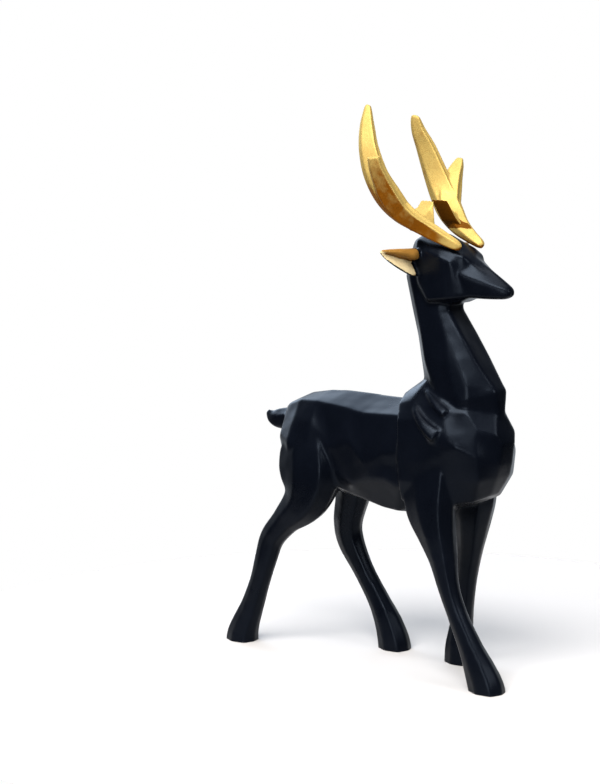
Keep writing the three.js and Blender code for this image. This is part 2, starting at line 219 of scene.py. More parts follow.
def trunk():
    """Rump, loin, flank and ribs: rings from the croup to inside the chest. Each ring runs from
    the middle of the back down the right side to the middle of the belly."""
    return loft(
        [
            [(-60, 0, 116.5), (-60, -3, 115.8), (-60, -4.8, 112), (-60, -6.6, 106), (-60, -5, 101),
             (-60, -2.4, 99), (-60, 0, 98.5)],
            [(-55, 0, 119.5), (-55, -7.2, 118), (-55, -11, 111.5), (-55, -15, 103),
             (-55, -12.5, 94), (-55, -5.6, 90), (-55, 0, 89)],
            [(-46, 0, 123.5), (-46, -10, 121.2), (-46, -14.6, 112.6), (-46, -20.2, 101.5),
             (-46, -18.5, 88.5), (-46, -8, 83.5), (-46, 0, 82.5)],
            [(-35, 0, 125.5), (-35, -12, 121.6), (-34, -16.8, 112), (-34, -21, 98),
             (-34, -19.5, 88), (-33, -11, 80.5), (-34, 0, 78.5)],
            [(-24, 0, 126.3), (-27, -13, 121), (-23, -17.6, 101.6), (-22, -16.4, 96),
             (-21, -15.5, 90.3), (-20.5, -13, 82), (-24, 0, 75.8)],
            [(-12, 0, 126.2), (-14.8, -13.5, 120), (-10, -18.5, 105.6), (-9.7, -17.5, 95.6),
             (-9.8, -16.5, 85), (-13.6, -11, 79), (-13, 0, 74.4)],
            [(-2, 0, 125.9), (-4.7, -15, 118.8), (0, -20, 96.6), (1.4, -19.6, 94.3),
             (0.7, -18.6, 88.5), (-4.9, -11.5, 77.4), (-3, 0, 73.2)],
            [(8, 0, 125.8), (6.2, -15.5, 119.4), (11.8, -21, 102.6), (11.5, -19.8, 96.2),
             (11.6, -20, 90.9), (4.6, -11.5, 75.3), (6, 0, 72.6)],
            [(20, 0, 126), (17, -16, 120), (21, -21, 104.6), (20, -19.8, 97.4), (19.5, -19, 87.5),
             (13.5, -11, 74.4), (15, 0, 72.4)],
            [(34, 0, 120), (34, -11, 117), (36, -16, 104), (36, -15, 97), (36, -14, 91),
             (32, -9, 83), (32, 0, 80)],
        ]
    )


def chest():
    """Shoulders and breast: rings from inside the neck down to inside the forelegs. Each ring runs
    from the shoulder's rear edge round to the narrow plane on the front of the breast."""
    return loft(
        [
            [(24, -4, 137), (29, -6, 138), (38, -7, 138), (46, -6, 137), (52, -2, 136)],
            [(14.2, -8, 129), (27, -9, 135.5), (37.6, -12, 133), (48.3, -10, 131.5),
             (58.6, -3, 131.5)],
            [(16.2, -15, 125.4), (24.5, -15.5, 127.2), (41.3, -17, 124.8), (53.4, -14, 123.9),
             (63.4, -4.2, 121.4)],
            [(19.3, -20.5, 118.5), (31.7, -20.5, 119.8), (47.7, -20.2, 113.7), (59.3, -13, 117.1),
             (65.7, -7.3, 114.4)],
            [(20.4, -21.8, 109.7), (34, -22, 111.1), (48.5, -20.6, 112), (58.8, -14.4, 113.7),
             (67, -5.2, 110.2)],
            [(20.6, -22, 100.5), (34.3, -22.2, 101.2), (52.5, -20, 109.7), (60.9, -15, 105),
             (65.8, -4.9, 100.6)],
            [(20.9, -21.6, 91.3), (33.8, -21.4, 91), (49, -18, 94.1), (60.4, -14, 94),
             (64.3, -4.9, 95)],
            [(20.7, -19, 81.7), (34.2, -18, 80.9), (47, -15, 82), (56, -10, 83.8),
             (59.4, -3.1, 85.9)],
            [(27, -10, 77.5), (34, -10, 77.5), (42, -8, 78.5), (48, -6, 80), (51, -2, 81)],
        ]
    )


def neck():
    """The neck: rings from inside the skull to inside the chest. Each ring runs from the nape
    round the side plane and the two bevels to the narrow plane on the front; the last but two is
    the lip over the breast."""
    return loft(
        [
            [(17, -2.5, 192), (19, -4, 192), (26, -5, 192), (28, -5, 192), (30, -4, 192)],
            [(11, -3.2, 183), (16, -7, 183.3), (31.4, -7.5, 184.2), (32.9, -6.8, 184.2),
             (36.8, -5.6, 184.3)],
            [(15.1, -3.5, 168), (21, -8, 168.2), (33.5, -8.6, 168.6), (34.2, -8.2, 168.1),
             (37.7, -5.9, 168.2)],
            [(19, -4, 155.8), (24.8, -9.5, 156.7), (38.6, -10, 158.2), (39.6, -9.4, 157.8),
             (45.3, -6.3, 157.5)],
            [(21.5, -4.5, 144.6), (28, -11, 145.7), (41.6, -12.4, 147.4), (45.8, -11.4, 147.2),
             (52.4, -6.1, 147.2)],
            [(23.3, -5, 136.5), (32.5, -12, 136.6), (45.1, -14, 136.1), (52.8, -12.6, 135.8),
             (61, -4.2, 135.6)],
            [(24, -5, 131), (36.6, -13, 132), (49.3, -14.4, 129.4), (53.5, -13.4, 130.1),
             (62.5, -4.7, 133.5)],
            [(26.8, -5, 126.7), (37.6, -12, 126.2), (49.5, -13, 122.9), (53.1, -12, 123.6),
             (63.5, -2.1, 121.7)],
            [(30, -4, 116), (36, -8, 116), (45, -8, 115), (49, -7, 115), (55, -2, 115)],
        ]
    )


def head():
    """The head: rings from the back of the skull to the nose. Each ring runs from the middle of
    the crown over the brow and down the cheek to the jaw's lower edge."""
    return loft(
        [
            [(13.5, 0, 196), (14, -2, 196), (14.5, -3, 191), (14.5, -2.5, 186), (14, -1.5, 185)],
            [(16.5, 0, 200), (17.5, -5, 199), (18, -6.5, 191), (18.5, -5.5, 183), (18, -4, 181.5)],
            [(21, 0, 202.5), (21.5, -8.5, 200), (21.5, -10.5, 190.5), (23.4, -10, 180),
             (21, -6.5, 178)],
            [(27.5, 0, SKULL_Z), (27.5, -9, 198.5), (29, -11.6, 195), (28.7, -11, 173),
             (27, -6.5, 170.7)],
            [(34, 0, SKULL_Z - 0.5), (34.6, -9.5, 197.5), (37.2, -12.8, 192.5), (38.4, -11, 174),
             (35.3, -5.5, 170.7)],
            [(40, 0, 199.5), (41.3, -9, 196), (42.4, -12, 190.4), (43.2, -9.6, 174.6),
             (42, -5, 171.8)],
            [(44, 0, 196), (46.6, -8, 193.2), (45.4, -8.6, 188), (47.3, -8.2, 175.2),
             (45.8, -5, 173.6)],
            [(47.5, 0, 193), (49, -5.5, 190.5), (45.6, -9.8, 185.3), (50, -7.2, 175.3),
             (48.5, -4.6, 174.4)],
            [(56, 0, 188), (56.3, -3.4, 185.5), (56, -6.6, 182), (57.2, -5.2, 175.5),
             (56.1, -3.4, 174.3)],
            [(63, 0, 183.5), (64, -2.4, 181.5), (64.2, -4.4, 179.8), (65, -3.6, 175.8),
             (64.5, -2.4, 174.6)],
            [(67.2, 0, 180.5), (67.6, -1.2, 179.8), (67.8, -2.4, 178.6), (68, -2, 176.4),
             (67.4, -1.4, 175.8)],
        ]
    )


EAR_ROWS = np.array(
    [
        (22, 8, 189.4, 5.4, 3),
        (23, 13, 189.8, 6.8, 3.4),
        (23, 19, 191, 6, 3.4),
        (21.8, 26, 193, 4.2, 2.8),
        (20.6, 31.5, 194.8, 2.2, 1.6),
        (20, 34.2, 195.8, 0.7, 0.5),
    ]
)


def ear(side):
    """A pointed leaf, hollowed on its front face, and the roll inside its upper edge, thickest at
    the root."""
    turn = np.array([1, side, 1, 1, 1])
    roll = np.array(
        [
            (22.5, 10, 193, 1.6, 1.6),
            (23.8, 13, 193.2, 2.5, 2.3),
            (24, 15.5, 193.2, 2.3, 2.2),
            (23.6, 19, 193.9, 1.7, 1.6),
            (22.6, 25, 194.8, 1.3, 1.2),
            (21.2, 30.5, 195.4, 0.8, 0.8),
            (20.4, 33, 195.8, 0.4, 0.4),
        ]
    )
    return [sweep(EAR_ROWS * turn, EAR_SECTION), sweep(roll * turn, LEG_SECTION)]


def tail():
    """The short tail, a blunt leaf."""
    stations = [
        (-52, 0, 110, 4, 5),
        (-60, 0, 109.5, 4.6, 5.4),
        (-67, 0, 108.5, 4.4, 5.2),
        (-72, 0, 109, 3, 3.8),
        (-75.5, 0, 111.5, 0.8, 1.4),
    ]
    return sweep(stations, TAIL_SECTION, UP)


def fold(side, facing, stations):
    """A fold of the shoulder: a low flat-topped ridge whose top plane looks along `facing`."""
    turn = np.array([1, side, 1, 1, 1])
    return sweep(np.array(stations) * turn, FOLD_SECTION, np.array(facing) * turn[:3])


def shoulder_folds(side):
    """The two folds where the neck runs into the shoulder; each widens forward and ends blunt."""
    blade = [
        (24.5, 14.6, 126.8, 0.5, 0.5),
        (28.4, 17.6, 122.8, 1.4, 1.6),
        (33.4, 20, 118.8, 2.2, 1.8),
        (38.4, 20.9, 115.4, 3, 1.8),
        (41.6, 21, 113.6, 3.3, 1.8),
        (42.4, 21, 113.2, 3.1, 1.6),
    ]
    crease = [
        (27.5, 10.5, 133, 0.5, 0.4),
        (31.5, 12.6, 130.6, 1.2, 1.5),
        (36, 14.8, 127.8, 1.7, 1.8),
        (40.6, 16.2, 125, 2.1, 1.8),
        (43.6, 16.7, 123.6, 2.2, 1.8),
        (44.4, 16.7, 123.2, 2, 1.6),
    ]
    return [fold(side, (0.25, 0.85, 0.5), blade), fold(side, (0.3, 0.8, 0.55), crease)]


def leg(side, top, stations):
    """A leg from inside the trunk down to its sole; it leans from `top` off the middle out to the
    stance."""
    x, z, across, deep = np.array(stations, float).T
    out = STANCE_HALF + (top - STANCE_HALF) * np.clip((z - LEAN_START_Z) / LEAN_RISE, 0, 1)
    return sweep(np.stack([x, side * out, z, across, deep], 1), LEG_SECTION)


def legs():
    """The stride: right foreleg and left hind leg forward, left foreleg upright, right hind leg
    back."""
    right_fore = [
        (35, 106, 6, 11),
        (35, 95, 7.2, 13.4),
        (35.2, 85, 8, 13.2),
        (36.6, 77, 8.2, 12),
        (40, 67, 7.6, 8.8),
        (43.5, 57, 6.2, 6.4),
        (47, 45, 4.7, 5),
        (52, 33, 4.4, 4.6),
        (59.5, 19, 5, 5.6),
        (65, 9, 6.2, 7.4),
        (68.5, 1.5, 7, 8.4),
        (69, -3, 7, 8.4),
    ]
    left_fore = [
        (36, 106, 6, 11),
        (36.2, 95, 7.2, 13.4),
        (36.8, 85, 8, 13),
        (37, 77, 8, 11.6),
        (36.5, 67, 7.2, 8.6),
        (35, 55, 5.6, 6.2),
        (33, 42, 4.7, 5),
        (31.5, 28, 4.5, 4.8),
        (30, 16, 5.2, 5.8),
        (29.5, 8, 6.2, 7),
        (30, 1.5, 6.8, 7.8),
        (30, -3, 6.8, 7.8),
    ]
    right_hind = [
        (-40, 118, 2, 3),
        (-39.4, 112, 4.4, 8),
        (-38.6, 105, 7.6, 12.6),
        (-37.8, 96, 10, 16.2),
        (-36.6, 85, 10.4, 16.4),
        (-39.5, 73, 8.6, 11.8),
        (-50, 62.5, 6.2, 7.4),
        (-58.2, 53, 5, 6.4),
        (-61.5, 43, 4.6, 5.8),
        (-65.5, 31, 4.4, 5.2),
        (-70.5, 18, 5, 5.8),
        (-75, 8, 6, 7),
        (-77, 1.5, 6.8, 8),
        (-77, -3, 6.8, 8),
    ]
    left_hind = [
        (-40, 118, 2, 3),
        (-38, 112, 4.4, 8),
        (-36, 105, 7.6, 12.4),
        (-34, 96, 10, 15),
        (-32, 85, 9.4, 14),
        (-33, 73, 7.4, 9),
        (-37, 59, 6, 7.4),
        (-36, 49, 5.4, 6.8),
        (-28.5, 36, 4.6, 5.2),
        (-19.5, 23, 4.8, 5.4),
        (-13, 12, 6, 6.8),
        (-9.5, 2.5, 6.8, 8),
        (-9, -3, 6.8, 8),
    ]
    fore_top, hind_top = 14, 11
    return [
        leg(-1, fore_top, right_fore),
        leg(1, fore_top, left_fore),
        leg(-1, hind_top, right_hind),
        leg(1, hind_top, left_hind),
    ]


def antler(side):
    """A beam from its seat on the forehead to the tip, a broad tine that leans out and one that
    leans in. The right one's tip and outer tine are longer."""
    right = side < 0
    tip = RIGHT_TIP_Z if right else LEFT_TIP_Z

    def branch(stations):
        return sweep(np.array(stations) * np.array([1, side, 1, 1, 1]), ANTLER_SECTION)

    beam = [
        (45.4, 8.4, 196.6, 1.2, 1.2),
        (43.6, 8.8, 198, 2.6, 2.2),
        (37.5, 10.2, 201, 3.2, 3.2),
        (29.4, 12.9, 205.4, 3.6, 4.6),
        (20.7, 17.6, 211.6, 4, 6),
        (14.1, 20.8, 219, 4, 6.4),
        (8.2, 22.2, 229, 3.8, 6),
        (3.6, 21.4, 240, 3.2, 5),
        (1, 19.4, (240 + tip) / 2, 2.6, 3.8),
        (0.2, 17.8, tip - 1.6, 1.5, 1.9 if right else 2.6),
        (0.2, 17.4, tip, 0.7, 0.8 if right else 1.5),
    ]
    outer = [
        (24, 15.4, 208.6, 2.4, 3),
        (18.8, 19.3, 214.5, 4.2, 5.6),
        (16.2, 23.6, 221.6, 4.4, 5.6),
    ]
    if right:
        outer += [
            (15.2, 27.4, 228, 3.6, 4.6),
            (14.6, 30, 233, 3, 3.8),
            (14.3, 31.4, 237.4, 2.4, 3.2),
        ]
    else:
        outer += [
            (15.2, 27.8, 227.6, 3.4, 4.4),
            (14.8, 31.2, 232, 2.2, 3.2),
            (14.6, 33.4, 235, 1.1, 1.8),
        ]
    inner = [
        [(18, 17, 213), (26.5, 16, 211), (31.5, 14.5, 203.6), (23, 16, 204)],
        [(20, 12, 212.6), (27.6, 12, 211), (33.6, 10.5, 204.4), (24.5, 11.5, 204)],
        [(20.6, 7.6, 214.4), (27.8, 8, 213.6), (31.4, 8.4, 208), (22.8, 8, 207.6)],
        [(20, 3.6, 217.4), (28, 4.8, 217.4), (28.6, 5.4, 215.8), (20.8, 4.2, 215.4)],
    ]
    return [branch(beam), branch(outer), planes(np.array(inner) * [1, side, 1])]


def mesh_arrays(mesh):
    """A mesh's points and edges as arrays."""
    points = np.empty(len(mesh.vertices) * 3)
    mesh.vertices.foreach_get("co", points)
    edges = np.empty(len(mesh.edges) * 2, np.int64)
    mesh.edges.foreach_get("vertices", edges)
    return points.reshape(-1, 3), edges.reshape(-1, 2)


def relaxed(points, edges, rounds, out=0.5, back=-0.3):
    """Each point moves part of the way to the mean of its neighbours, then part of the way back,
    so edges soften while the form keeps its size."""
    count = np.bincount(edges.ravel(), minlength=len(points))[:, None]
    for share in [out, back] * rounds:
        total = np.stack(
            [
                np.bincount(edges[:, 0], points[edges[:, 1], k], len(points))
                + np.bincount(edges[:, 1], points[edges[:, 0], k], len(points))
                for k in range(3)
            ],
            1,
        )
        points = points + share * (total / count - points)
    return points


def applied(obj, modifier, **values):
    """Gives obj one modifier with these values and turns the result into its mesh."""
    mod = obj.modifiers.new(modifier.title(), modifier)
    for name, value in values.items():
        setattr(mod, name, value)
    graph = bpy.context.evaluated_depsgraph_get()
    mesh = bpy.data.meshes.new_from_object(obj.evaluated_get(graph))
    obj.modifiers.clear()
    old, obj.data = obj.data, mesh
    bpy.data.meshes.remove(old)


def skinned(name, masses, voxel, rounds, most):
    """One closed skin over all the masses: they are filled with cells `voxel` wide, the cells'
    outside becomes the skin, its edges are relaxed `rounds` times and it is thinned to about
    `most` triangles."""
    points, triangles = joined(masses)
    points = (points + [FORWARD_SHIFT, 0, 0]) * MM
    mesh = bpy.data.meshes.new(name)
    mesh.from_pydata(points, [], triangles)
    obj = bpy.data.objects.new(name, mesh)
    bpy.context.scene.collection.objects.link(obj)
    applied(obj, "REMESH", mode="VOXEL", voxel_size=voxel, adaptivity=0.0)
    points, edges = mesh_arrays(obj.data)
    obj.data.vertices.foreach_set("co", relaxed(points, edges, rounds).ravel())
    obj.data.update()
    count = len(obj.data.polygons) * 2
    if count > most:
        applied(obj, "DECIMATE", ratio=most / count)
    obj.data.name = name
    obj.data.polygons.foreach_set("use_smooth", np.ones(len(obj.data.polygons), bool))
    return obj


def kept_in_box(obj, node):
    """Whatever the finer skin puts outside the solid's own box is brought back to it, which also
    levels the soles at z = 0."""
    points, _ = mesh_arrays(obj.data)
    low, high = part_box(node)
    obj.data.vertices.foreach_set("co", np.clip(points, low, high).ravel())
    obj.data.update()


def mark_ear_paint(obj):
    """Stores where each point lies on the ear's leaf: ear_u runs across it from -1 to 1, and ear_v
    from -1 on its back to 0.35 on its rim; points off the ears get OFF_EAR for ear_u."""
    points, _ = mesh_arrays(obj.data)
    x, y, z = (points / MM - [FORWARD_SHIFT, 0, 0]).T
    row_x, row_y, row_z, row_across, row_deep = smooth_rows(EAR_ROWS).T
    centre_x, centre_z, across, deep = (
        np.interp(np.abs(y), row_y, values) for values in (row_x, row_z, row_across, row_deep)
    )
    u, v = (z - centre_z) / across, (x - centre_x) / deep
    off = (np.abs(y) < EAR_ROOT_Y) | (x > EAR_FRONT_X)
    off |= (np.abs(u) > EAR_REACH_U) | (np.abs(v) > EAR_REACH_V)
    marks = {"ear_u": np.where(off, OFF_EAR, u), "ear_v": np.clip(v, -EAR_REACH_V, EAR_REACH_V)}
    for name, values in marks.items():
        field = obj.data.attributes.new(name, "FLOAT", "POINT")
        field.data.foreach_set("value", values.astype(np.float32))


class Nodes:
    """Builds one material's node tree a node at a time."""

    def __init__(self, name):
        self.material = bpy.data.materials.new(name)
        self.material.use_nodes = True
        self.tree = self.material.node_tree
        self.shader = self.tree.nodes["Principled BSDF"]

    def add(self, kind, settings=None, **inputs):
        node = self.tree.nodes.new(kind)
        for key, value in (settings or {}).items():
            setattr(node, key, value)
        for key, value in inputs.items():
            self.put(node.inputs[key], value)
        return node

    def put(self, socket, value):
        if isinstance(value, bpy.types.NodeSocket):
            self.tree.links.new(value, socket)
        else:
            socket.default_value = value

    def math(self, operation, a, b=0.0):
        node = self.tree.nodes.new("ShaderNodeMath")
        node.operation = operation
        self.put(node.inputs[0], a)
        self.put(node.inputs[1], b)
        return node.outputs[0]

    def noise(self, vector, scale, detail=3.0, rough=0.5):
        inputs = {"Vector": vector, "Scale": scale, "Detail": detail, "Roughness": rough}
        return self.add("ShaderNodeTexNoise", **inputs).outputs[0]

    def ramp(self, factor, *stops):
        """Grey that runs straight between two stops, each of them a place and its grey."""
        node = self.tree.nodes.new("ShaderNodeValToRGB")
        self.put(node.inputs[0], factor)
        for element, (place, grey) in zip(node.color_ramp.elements, stops):
            element.position = place
            element.color = (grey, grey, grey, 1)
        return node.outputs[0]

    def mix(self, factor, a, b):
        node = self.add("ShaderNodeMix", {"data_type": "RGBA"})
        self.put(node.inputs[0], factor)
        self.put(node.inputs[6], a)
        self.put(node.inputs[7], b)
        return node.outputs[2]

    def bump(self, height, distance, strength, **under):
        inputs = {"Height": height, "Distance": distance, "Strength": strength, **under}
        return self.add("ShaderNodeBump", **inputs).outputs[0]


def gold_colour(nodes, place, light, dark):
    """Gold paint with painted light and shade: `light` where the surface looks up, darkening to
    `dark` where it looks down, with clouds and a fine grain. Returns the colour, the grain and the
    clouds."""
    cloud = nodes.noise(place, scale=110.0, detail=5.0, rough=0.6)
    grain = nodes.noise(place, scale=850.0, detail=3.0, rough=0.6)
    normal = nodes.add("ShaderNodeNewGeometry").outputs["Normal"]
    up = nodes.add("ShaderNodeSeparateXYZ", Vector=normal).outputs["Z"]
    # Painted light and shade: the colour runs from `dark` on faces that look down to `light` on
    # faces that look up
    tone = nodes.math("ADD", nodes.math("MULTIPLY", cloud, 1.1), up)
    colour = nodes.mix(nodes.ramp(tone, (0.12, 0), (0.46, 1)), dark, light)
    speck = nodes.math(
        "ADD", nodes.math("MULTIPLY", grain, 0.6), nodes.math("MULTIPLY", cloud, 0.4)
    )
    speck = nodes.math("MULTIPLY", nodes.ramp(speck, (0.46, 0), (0.6, 1)), 0.14)
    return nodes.mix(speck, colour, dark), grain, cloud


def tine_shade_mask(nodes, place, cloud):
    """1 on the painted shade patch of each inner tine, its face towards the other antler, else 0.
    """
    spot = nodes.add("ShaderNodeSeparateXYZ", Vector=place).outputs
    normal = nodes.add("ShaderNodeNewGeometry").outputs["Normal"]
    sideways = nodes.add("ShaderNodeSeparateXYZ", Vector=normal).outputs["Y"]
    facing = nodes.math("MULTIPLY", nodes.math("SIGN", spot["Y"]), sideways)
    wave = nodes.math("MULTIPLY", cloud, SHADED_TINE_WAVE)
    off_middle = nodes.math("ADD", nodes.math("ABSOLUTE", spot["Y"]), wave)
    inner = nodes.math("LESS_THAN", off_middle, SHADED_TINE_INNER_Y)
    above = nodes.math("GREATER_THAN", nodes.math("ADD", spot["Z"], wave), SHADED_TINE_LOW_Z)
    turned = nodes.math("LESS_THAN", facing, SHADED_TINE_FACING)
    return nodes.math("MULTIPLY", nodes.math("MULTIPLY", inner, above), turned)


def gold_material(settings):
    """Gold leaf paint with a fine grain and brush clouds, and painted shade below and on the inner
    tines.
    """
    nodes = Nodes("gold_paint")
    place = nodes.add("ShaderNodeTexCoord").outputs["Object"]
    # The gold is lit and shaded copies of one paint: painted light on faces that look up, painted
    # shade on faces that look down
    lit_tone, shade_tone = tuple(settings.gold), tuple(settings.gold_shaded)
    colour, grain, cloud = gold_colour(nodes, place, lit_tone, shade_tone)
    shader = nodes.shader.inputs
    # Painted shade: the inner tines' faces towards the other antler are set to a share of the
    # shaded gold
    tine_shade_tone = (*(SHADED_TINE_SHARE * part for part in shade_tone[:3]), 1.0)
    colour = nodes.mix(tine_shade_mask(nodes, place, cloud), colour, tine_shade_tone)
    nodes.put(shader["Base Color"], colour)
    shader["Metallic"].default_value = 0.45
    shader["Specular IOR Level"].default_value = 0.08
    shader["Specular Tint"].default_value = (1.0, 0.8, 0.4, 1.0)
    nodes.put(shader["Roughness"], nodes.ramp(cloud, (0.3, 0.46), (0.7, 0.62)))
    fine = nodes.bump(grain, distance=0.00016, strength=0.2)
    nodes.put(shader["Normal"], nodes.bump(cloud, distance=0.0006, strength=0.35, Normal=fine))
    return nodes.material


def resin_material(settings):
    """Satin black resin paint with a faint navy cast, and gold paint inside the ears with painted
    shade.
    """
    nodes = Nodes("black_resin")
    place = nodes.add("ShaderNodeTexCoord").outputs["Object"]
    shader = nodes.shader.inputs
    mottle = nodes.noise(place, scale=60.0, detail=4.0, rough=0.55)
    skin = nodes.noise(place, scale=900.0, detail=2.0, rough=0.5)
    black = nodes.mix(mottle, tuple(settings.black), tuple(settings.black_lit))
    # Painted light and shade on the ears' gold: lighter where it looks up, darker where it looks
    # down
    shade_tone = tuple(settings.ear_gold_shaded)
    gold, _, _ = gold_colour(nodes, place, tuple(settings.ear_gold), shade_tone)
    # Painted shade: the upper half of each ear, round the roll, takes the darker tones
    across = nodes.add("ShaderNodeAttribute", {"attribute_name": "ear_u"}).outputs["Fac"]
    shaded_upper = nodes.ramp(across, (0.05, 0), (0.35, 1))
    gold = nodes.mix(shaded_upper, gold, nodes.mix(mottle, shade_tone, tuple(settings.ear_upper_shade)))
    height = nodes.add("ShaderNodeAttribute", {"attribute_name": "ear_v"}).outputs["Fac"]
    ragged = nodes.noise(place, scale=700.0)
    edge = nodes.math("MULTIPLY", nodes.math("SUBTRACT", ragged, 0.5), 0.12)
    off_middle = nodes.math("ABSOLUTE", across)
    inside = nodes.math("LESS_THAN", nodes.math("ADD", off_middle, edge), EAR_PAINT_EDGE)
    split = nodes.math("MULTIPLY", off_middle, EAR_FRONT_RISE)
    split = nodes.math("SUBTRACT", split, EAR_FRONT_DROP)
    front = nodes.math("GREATER_THAN", height, split)
    paint = nodes.math("MULTIPLY", inside, front)
    nodes.put(shader["Base Color"], nodes.mix(paint, black, gold))
    nodes.put(shader["Metallic"], nodes.math("MULTIPLY", paint, 0.3))
    shader["Specular IOR Level"].default_value = 0.08
    shader["Specular Tint"].default_value = (0.66, 0.8, 1.0, 1.0)
    rough = nodes.ramp(mottle, (0.3, settings.gloss - 0.04), (0.7, settings.gloss + 0.06))
    nodes.put(shader["Roughness"], rough)
    fine = nodes.bump(skin, distance=0.00005, strength=0.25)
    broad = nodes.noise(place, scale=38.0, detail=2.0, rough=0.4)
    nodes.put(shader["Normal"], nodes.bump(broad, distance=0.005, strength=0.45, Normal=fine))
    return nodes.material


class CastingSettings(bpy.types.PropertyGroup):
    """The black resin body."""

    cell: bpy.props.FloatProperty(
        name="Skin cell",
        description="Width of the cells that the skin is made from",
        default=0.0005, min=0.0002, max=0.002, precision=5, subtype="DISTANCE", unit="LENGTH",
    )
    softness: bpy.props.IntProperty(
        name="Edge softness",
        description="How many times the carved edges are relaxed",
        default=40, min=0, max=40,
    )
    black: bpy.props.FloatVectorProperty(
        name="Black",
        description="Resin paint in its darkest patches",
        default=(0.0009, 0.0013, 0.0024, 1.0), size=4, min=0.0, max=1.0, subtype="COLOR",
    )
    black_lit: bpy.props.FloatVectorProperty(
        name="Black, lighter",
        description="Resin paint in its lightest patches",
        default=(0.0018, 0.0025, 0.0048, 1.0), size=4, min=0.0, max=1.0, subtype="COLOR",
    )
    gloss: bpy.props.FloatProperty(
        name="Roughness",
        description="Roughness of the satin paint",
        default=0.3, min=0.05, max=1.0, subtype="FACTOR",
    )
    # Painted light: the lit tone of the ears' gold, used where the surface looks up
    ear_gold: bpy.props.FloatVectorProperty(
        name="Ear gold",
        description="Gold paint inside the ears",
        default=(0.8, 0.64, 0.36, 1.0), size=4, min=0.0, max=1.0, subtype="COLOR",
    )
    # Painted shade: the ears' gold in their upper half, round the roll
    ear_upper_shade: bpy.props.FloatVectorProperty(
        name="Ear gold, roll",
        description="The same paint on the roll in the ear",
        default=(0.38, 0.19, 0.04, 1.0), size=4, min=0.0, max=1.0, subtype="COLOR",
    )
    # Painted shade: the ears' gold where it looks down, also mottled into the upper half
    ear_gold_shaded: bpy.props.FloatVectorProperty(
        name="Ear gold, thin",
        description="The same paint where it is thin",
        default=(0.14, 0.06, 0.008, 1.0), size=4, min=0.0, max=1.0, subtype="COLOR",
    )


class AntlerSettings(bpy.types.PropertyGroup):
    """The gold antlers."""

    cell: bpy.props.FloatProperty(
        name="Skin cell",
        description="Width of the cells that the skin is made from",
        default=0.00028, min=0.0001, max=0.002, precision=5, subtype="DISTANCE", unit="LENGTH",
    )
    softness: bpy.props.IntProperty(
        name="Edge softness",
        description="How many times the carved edges are relaxed",
        default=26, min=0, max=40,
    )
    # Painted light: the lit tone of the gold, used on faces that look up
    gold: bpy.props.FloatVectorProperty(
        name="Gold",
        description="Gold paint where it is thick",
        default=(0.35, 0.245, 0.072, 1.0), size=4, min=0.0, max=1.0, subtype="COLOR",
    )
    # Painted shade: the gold's shaded tone, used on faces that look down and, darker still, on the
    # inner tines
    gold_shaded: bpy.props.FloatVectorProperty(
        name="Gold, thin",
        description="Gold paint where it is thin",
        default=(0.2, 0.064, 0.003, 1.0), size=4, min=0.0, max=1.0, subtype="COLOR",
    )


class StageSettings(bpy.types.PropertyGroup):
    """Floor, lights and camera."""

    azimuth: bpy.props.FloatProperty(
        name="Azimuth",
        description="Where the camera stands round the stag, in degrees",
        default=40.0,
    )
    elevation: bpy.props.FloatProperty(
        name="Elevation",
        description="Height of the camera over the level, in degrees",
        default=8.0,
    )
    distance: bpy.props.FloatProperty(
        name="Distance",
        description="From the camera to the stag",
        default=1.0, min=0.1, subtype="DISTANCE", unit="LENGTH",
    )
    lens: bpy.props.FloatProperty(
        name="Lens",
        description="Focal length",
        default=98.7, min=10.0, subtype="DISTANCE_CAMERA",
    )
    reach: bpy.props.FloatProperty(
        name="Floor radius",
        description="From the middle of the round floor to its edge",
        default=0.24, min=0.1, subtype="DISTANCE", unit="LENGTH",
    )
    floor: bpy.props.FloatVectorProperty(
        name="Floor",
        description="Colour of the floor",
        default=(0.42, 0.4, 0.385, 1.0), size=4, min=0.0, max=1.0, subtype="COLOR",
    )


class STAG_OT_casting(bpy.types.Operator):
    """Builds the black resin body over its solid"""

    bl_idname = "stag.casting"
    bl_label = "Resin body"

    def execute(self, context):
        settings = context.scene.stag_casting
        masses = [trunk(), chest(), neck(), head(), tail(), *legs()]
        for side in (-1, 1):
            masses += [*ear(side), *shoulder_folds(side)]
        body = skinned("resin_body", masses, settings.cell, settings.softness, BODY_TRIANGLES)
        kept_in_box(body, "stag_casting")
        mark_ear_paint(body)
        body.data.materials.append(resin_material(settings))
        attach(body, "root")
        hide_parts("stag_casting")
        return {"FINISHED"}


class STAG_OT_antlers(bpy.types.Operator):
    """Builds the two gold antlers over their solids"""

    bl_idname = "stag.antlers"
    bl_label = "Gold antlers"

    def execute(self, context):
        settings = context.scene.stag_antlers
        gold = gold_material(settings)
        for side, name in ((-1, "right"), (1, "left")):
            piece = skinned(
                f"gold_antler_{name}", antler(side), settings.cell, settings.softness,
                ANTLER_TRIANGLES,
            )
            kept_in_box(piece, f"antler_{name}")
            piece.data.materials.append(gold)
            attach(piece, "root")
            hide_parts(f"antler_{name}")
        return {"FINISHED"}


